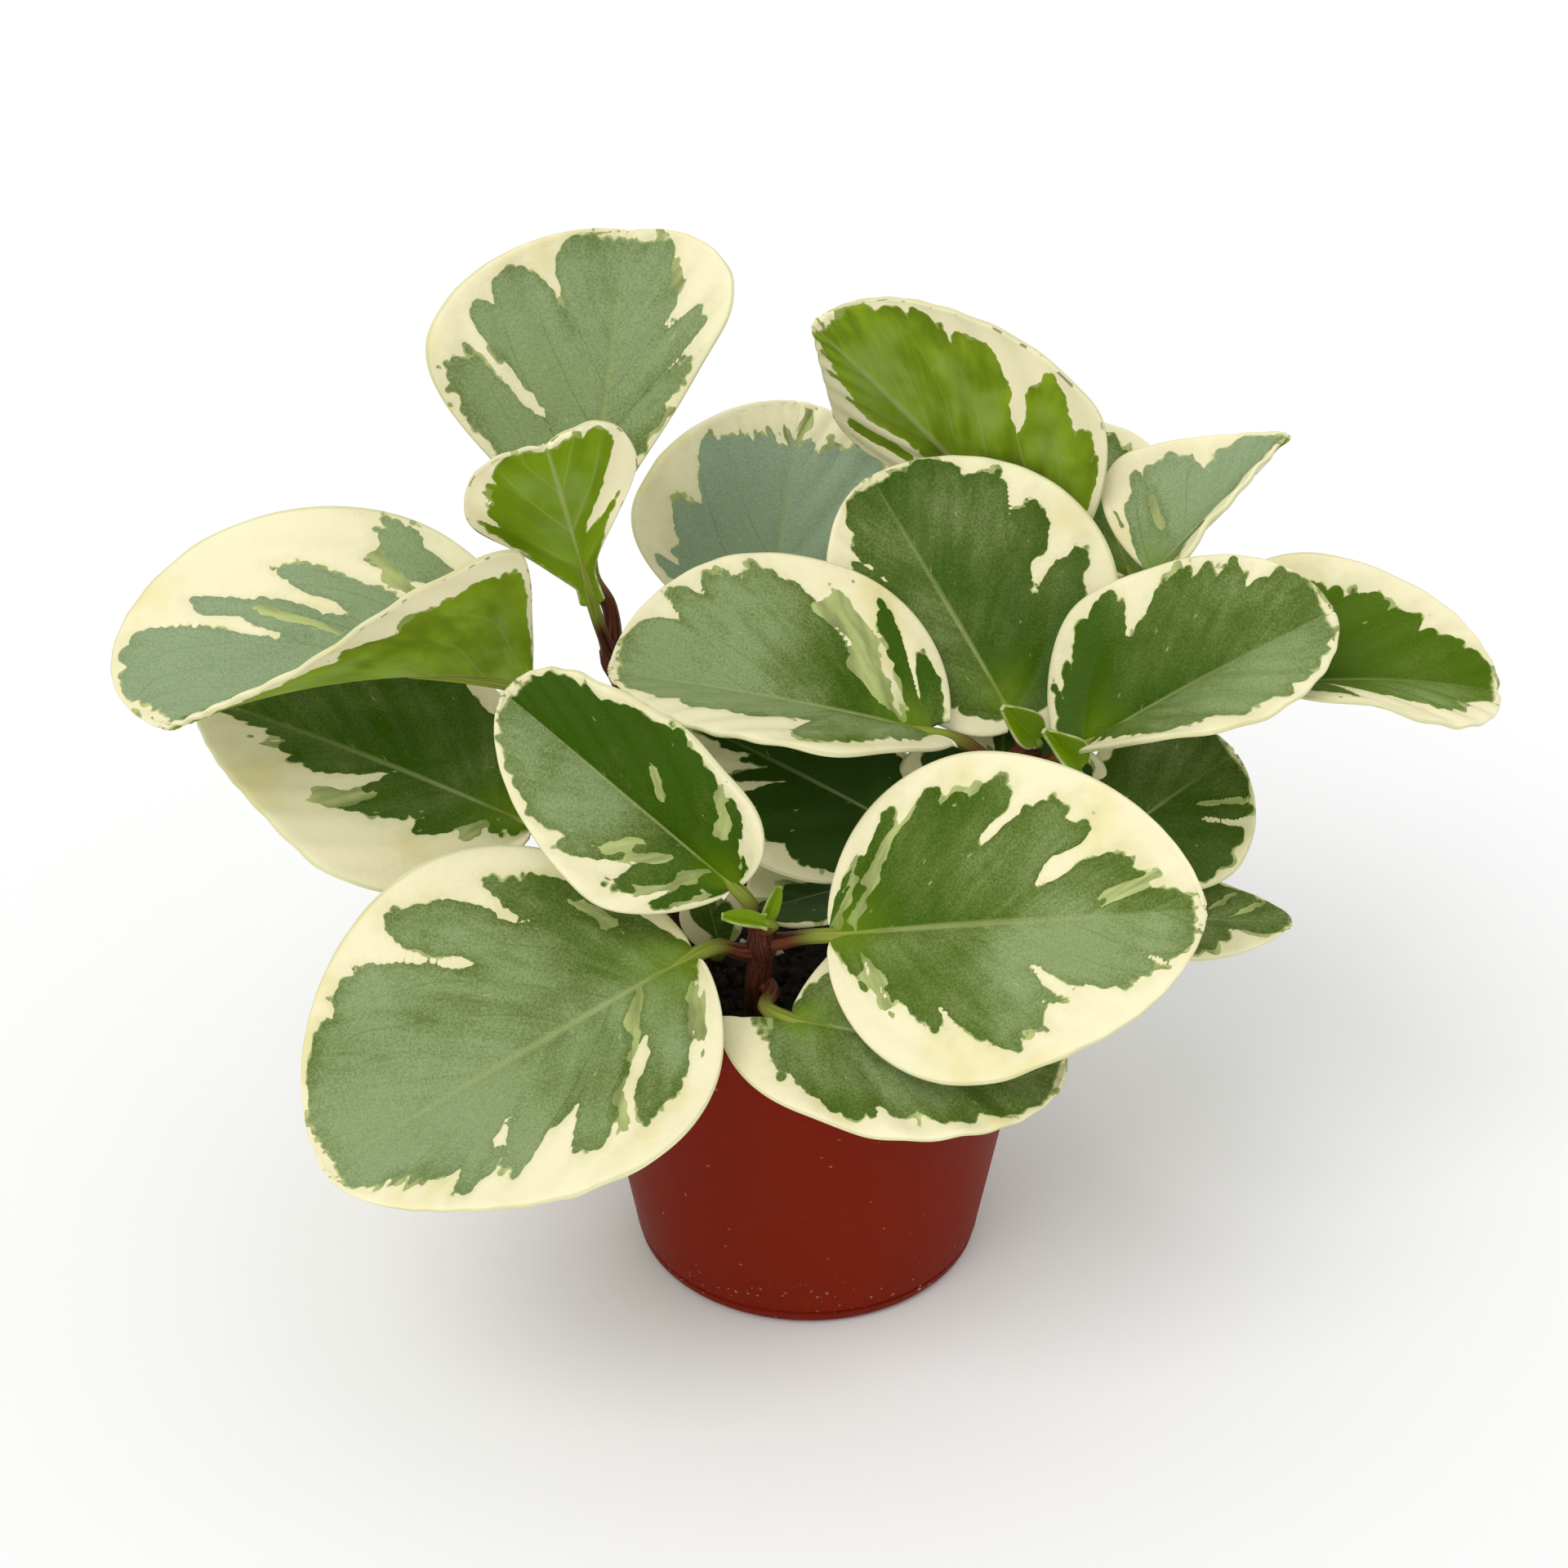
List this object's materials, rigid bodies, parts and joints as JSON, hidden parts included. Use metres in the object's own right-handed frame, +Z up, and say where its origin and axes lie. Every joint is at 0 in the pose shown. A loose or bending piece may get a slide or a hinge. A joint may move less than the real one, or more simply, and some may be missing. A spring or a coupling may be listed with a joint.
{
  "type": "potted houseplant",
  "caption": "Bushy houseplant with thick oval green leaves edged in cream on short reddish stems, in a round brick-red plastic nursery pot with a flat foot.",
  "frame": {"origin": "middle of the flat boss under the pot, on the plane that the pot stands on", "axes": "+Z up out of the pot; -Y toward the side of the plant that the picture shows; +X to the right in that view"},
  "size_m": [0.3246, 0.2165, 0.2533],
  "materials": {
    "pot": "matte",
    "soil": "loose, matte",
    "stem": "satin",
    "leaf": "satin",
    "young_leaf": "satin"
  },
  "bodies": {
    "root": {"pot": "pot", "soil": "soil", "stem_front": "stem", "stem_tall_left": "stem", "stem_centre_right": "stem", "stem_left": "stem", "stem_back": "stem", "stem_back_right": "stem", "leaf_top_left": "leaf", "leaf_top_young": "young_leaf", "leaf_left_folded": "leaf", "leaf_left_lower": "leaf", "leaf_front_upper": "leaf", "leaf_front_left": "leaf", "leaf_front_right": "leaf", "leaf_front_low": "leaf", "leaf_middle": "leaf", "leaf_middle_tall": "leaf", "leaf_right": "leaf", "leaf_back_tall": "leaf", "leaf_back_middle": "leaf", "leaf_back_right": "leaf", "leaf_back_hidden": "leaf", "leaf_far_right": "leaf", "leaf_right_lower": "leaf", "leaf_right_low": "leaf", "leaf_inner_dark": "leaf", "leaf_inner_low": "leaf", "leaf_inner_striped": "leaf", "leaf_right_bud": "young_leaf", "leaf_front_bud": "young_leaf", "leaf_rear_middle": "leaf", "leaf_rear_right": "leaf", "leaf_rear_inner": "leaf", "leaf_rear_left": "leaf"}
  },
  "joints": []
}
